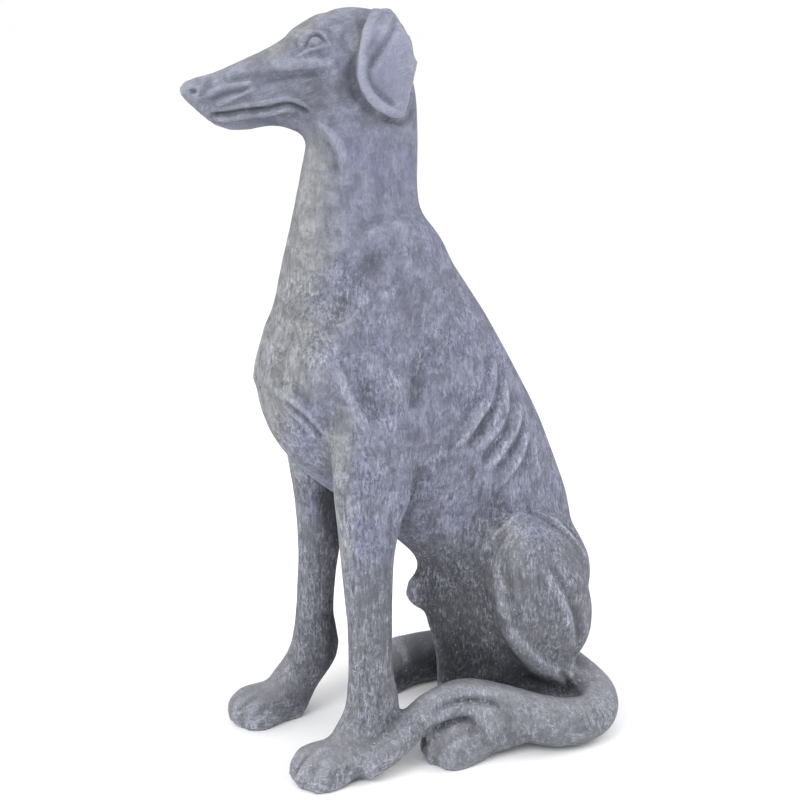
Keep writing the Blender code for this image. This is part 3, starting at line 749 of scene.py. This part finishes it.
def greyhound(view):
    """The cast figure, with its finer carving."""
    figure = clay_copy(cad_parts["greyhound_figure"])
    store(figure.data, "shelter", sheltered(figure.data))
    even_out(figure.data, ROUNDS_BEFORE_LINES)
    head_lines = lines_on(figure, view, HEAD_LINES, on_head=True, both_sides=True)
    other_lines = lines_on(figure, view, BODY_LINES, on_head=False, both_sides=True)
    other_lines += lines_on(figure, view, GROUND_LINES, on_head=False, both_sides=False)
    middles = face_middles(figure.data)
    ahead, up = middles[:, 1], middles[:, 2]
    paws = (up < PAWS_BELOW) & (up > SOLES_BELOW) & (ahead > PAWS_BEHIND)
    refine(figure, (up > HEAD_ABOVE) | paws | near_lines(middles, other_lines, SPLIT_ONCE_BODY))
    even_out(figure.data, ROUNDS_SPLIT_ONCE)
    middles = face_middles(figure.data)
    fine = near_lines(middles, head_lines, SPLIT_TWICE_HEAD)
    fine |= near_lines(middles, other_lines, SPLIT_TWICE_BODY)
    refine(figure, fine)
    even_out(figure.data, ROUNDS_SPLIT_TWICE)
    carve(figure, head_lines + other_lines)
    sit_on_ground(figure)
    bpy.ops.object.shade_smooth()
    paint_and_shade_guides(figure.data)
    return figure


def add(tree, kind, inputs, output, **settings):
    """Adds a node with its settings and links, and gives one output; an input is a value or an output."""
    made = tree.nodes.new(kind)
    for name, value in settings.items():
        setattr(made, name, value)
    for name, value in inputs.items():
        if isinstance(value, bpy.types.NodeSocket):
            tree.links.new(value, made.inputs[name])
        else:
            made.inputs[name].default_value = value
    return made.outputs[output]


def mask(tree, found, steps, joined="MULTIPLY"):
    """How much of a coat shows: its steps, multiplied, or the greatest of them."""
    whole = None
    for step in steps:
        if isinstance(step, str):
            step = found[step]
        elif isinstance(step, tuple):
            inputs = dict(enumerate((found[step[0]], *step[1:])))
            step = add(tree, "ShaderNodeMapRange", inputs, "Result", interpolation_type="SMOOTHSTEP")
        if whole is None:
            whole = step
        else:
            whole = add(tree, "ShaderNodeMath", {0: whole, 1: step}, "Value", operation=joined)
    return whole


def coated(tree, found, tone, coats):
    """The tone with the coats of paint over it."""
    for colour, *steps in coats:
        inputs = {0: mask(tree, found, steps), 6: tone, 7: linear(colour)}
        tone = add(tree, "ShaderNodeMix", inputs, 2, data_type="RGBA")
    return tone


def patterns(tree):
    """The patterns and guides that the coats of paint follow, by name."""
    where = add(tree, "ShaderNodeTexCoord", {}, "Object")
    stretch = {0: where, 1: UPRIGHT_STRETCH}
    drawn_over = {
        "object": where,
        "upright": add(tree, "ShaderNodeVectorMath", stretch, "Vector", operation="MULTIPLY"),
        "brush": add(tree, "ShaderNodeAttribute", {}, "Vector", attribute_name="brush"),
    }
    found = {"height": add(tree, "ShaderNodeSeparateXYZ", {0: where}, "Z")}
    for name in GUIDES:
        found[name] = add(tree, "ShaderNodeAttribute", {}, "Fac", attribute_name=name)
    for name, (size, on, detail, roughness, warp) in PATTERNS.items():
        inputs = {"Vector": drawn_over[on], "Scale": 1 / (size * MM), "Detail": detail}
        inputs |= {"Roughness": roughness, "Distortion": warp}
        found[name] = add(tree, "ShaderNodeTexNoise", inputs, "Fac")
    inputs = {0: found["crack_noise"], 1: 0.5}
    off_middle = add(tree, "ShaderNodeMath", inputs, "Value", operation="SUBTRACT")
    found["from_crack"] = add(tree, "ShaderNodeMath", {0: off_middle}, "Value", operation="ABSOLUTE")
    inputs = {"Vector": where, "Scale": 1 / SPECK_CELL}
    specks = add(tree, "ShaderNodeTexVoronoi", inputs, "Distance")
    found["from_speck"] = specks
    found["speck_draw"] = add(tree, "ShaderNodeSeparateXYZ", {0: specks.node.outputs["Color"]}, "X")
    return found


def masks(tree, found):
    """The masks that several coats share, and how much pale paint the brush left."""
    for name, steps in MASKS.items():
        found[name] = mask(tree, found, steps)
    found["pale"] = mask(tree, found, ("broken", "chalky"), joined="MAXIMUM")
    amount = PALE_LEAST
    for name, share in PALE_SHARES.items():
        inputs = {0: found[name], 1: share, 2: amount}
        amount = add(tree, "ShaderNodeMath", inputs, "Value", operation="MULTIPLY_ADD")
    found["pale_amount"] = amount


def base_coat_and_painted_light(tree, found):
    """A plain grey where the figure faces the front, near the ground and on the head, else a lavender:
    painted light, the lit front neutral and the shaded sides lavender.
    """
    front = coated(tree, found, linear(FRONT_GREY), FRONT_COATS)
    side = coated(tree, found, linear(SIDE_GREY), SIDE_COATS)
    plain = mask(tree, found, PLAIN_WHERE, joined="MAXIMUM")
    return add(tree, "ShaderNodeMix", {0: plain, 6: side, 7: front}, 2, data_type="RGBA")


def brushed_relief(tree, found):
    """The relief of strokes, crackle and cracks on a slightly uneven casting."""
    inputs = {0: found["strokes"], 1: found["swathes"]}
    both = add(tree, "ShaderNodeMath", inputs, "Value", operation="ADD")
    inputs = {0: both, 1: found["streaky"], 2: found["crackle"]}
    height = add(tree, "ShaderNodeMath", inputs, "Value", operation="MULTIPLY_ADD")
    for name, share in RELIEF.items():
        inputs = {0: found[name], 1: share, 2: height}
        height = add(tree, "ShaderNodeMath", inputs, "Value", operation="MULTIPLY_ADD")
    inputs = {"Height": height, "Strength": BUMP_STRENGTH, "Distance": BUMP_DEPTH}
    return add(tree, "ShaderNodeBump", inputs, "Normal")


def weathered_resin():
    """Cast stone resin, brush-painted lead grey: dull, with painted shade in the hollows and pale
    dry-brushed crests.
    """
    material = bpy.data.materials.new("weathered_resin")
    material.use_nodes = True
    tree = material.node_tree
    shader = tree.nodes["Principled BSDF"]
    shader.inputs["Roughness"].default_value = 0.80
    shader.inputs["IOR"].default_value = 1.45
    shader.inputs["Specular IOR Level"].default_value = 0.30
    found = patterns(tree)
    masks(tree, found)
    tone = coated(tree, found, base_coat_and_painted_light(tree, found), TOP_COATS_AND_PAINTED_LIGHT)
    tree.links.new(tone, shader.inputs["Base Color"])
    tree.links.new(brushed_relief(tree, found), shader.inputs["Normal"])
    return material


def plain_floor():
    """A pale matt studio floor."""
    bpy.ops.object.select_all(action="DESELECT")
    bpy.ops.mesh.primitive_plane_add(size=FLOOR_SIZE)
    floor = bpy.context.object
    floor.name = "floor"
    material = bpy.data.materials.new("studio_floor")
    material.use_nodes = True
    shader = material.node_tree.nodes["Principled BSDF"]
    shader.inputs["Base Color"].default_value = linear("#ffffff")
    shader.inputs["Roughness"].default_value = 0.9
    floor.data.materials.append(material)


def lamp(name, place, power):
    """A large soft round lamp that points at the figure."""
    light = bpy.data.lights.new(name, "AREA")
    light.shape = "DISK"
    light.size = LAMP_WIDTH
    light.energy = power
    made = bpy.data.objects.new(name, light)
    bpy.context.scene.collection.objects.link(made)
    made.location = place
    heading = Vector(LAMP_TARGET) - Vector(place)
    made.rotation_euler = heading.to_track_quat("-Z", "Y").to_euler()


def studio_light():
    """A white room with one large soft lamp above the dog's front left and a weaker one behind."""
    world = bpy.data.worlds.new("studio")
    world.use_nodes = True
    world.node_tree.nodes["Background"].inputs["Color"].default_value = (1, 1, 1, 1)
    world.node_tree.nodes["Background"].inputs["Strength"].default_value = 1.0
    bpy.context.scene.world = world
    for name, (place, power) in LAMPS.items():
        lamp(name, place, power)
    bpy.context.scene.view_settings.view_transform = "Standard"


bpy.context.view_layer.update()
view = camera()
figure = greyhound(view)
figure.data.materials.append(weathered_resin())
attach(figure, "root")
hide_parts("greyhound_figure")
plain_floor()
studio_light()
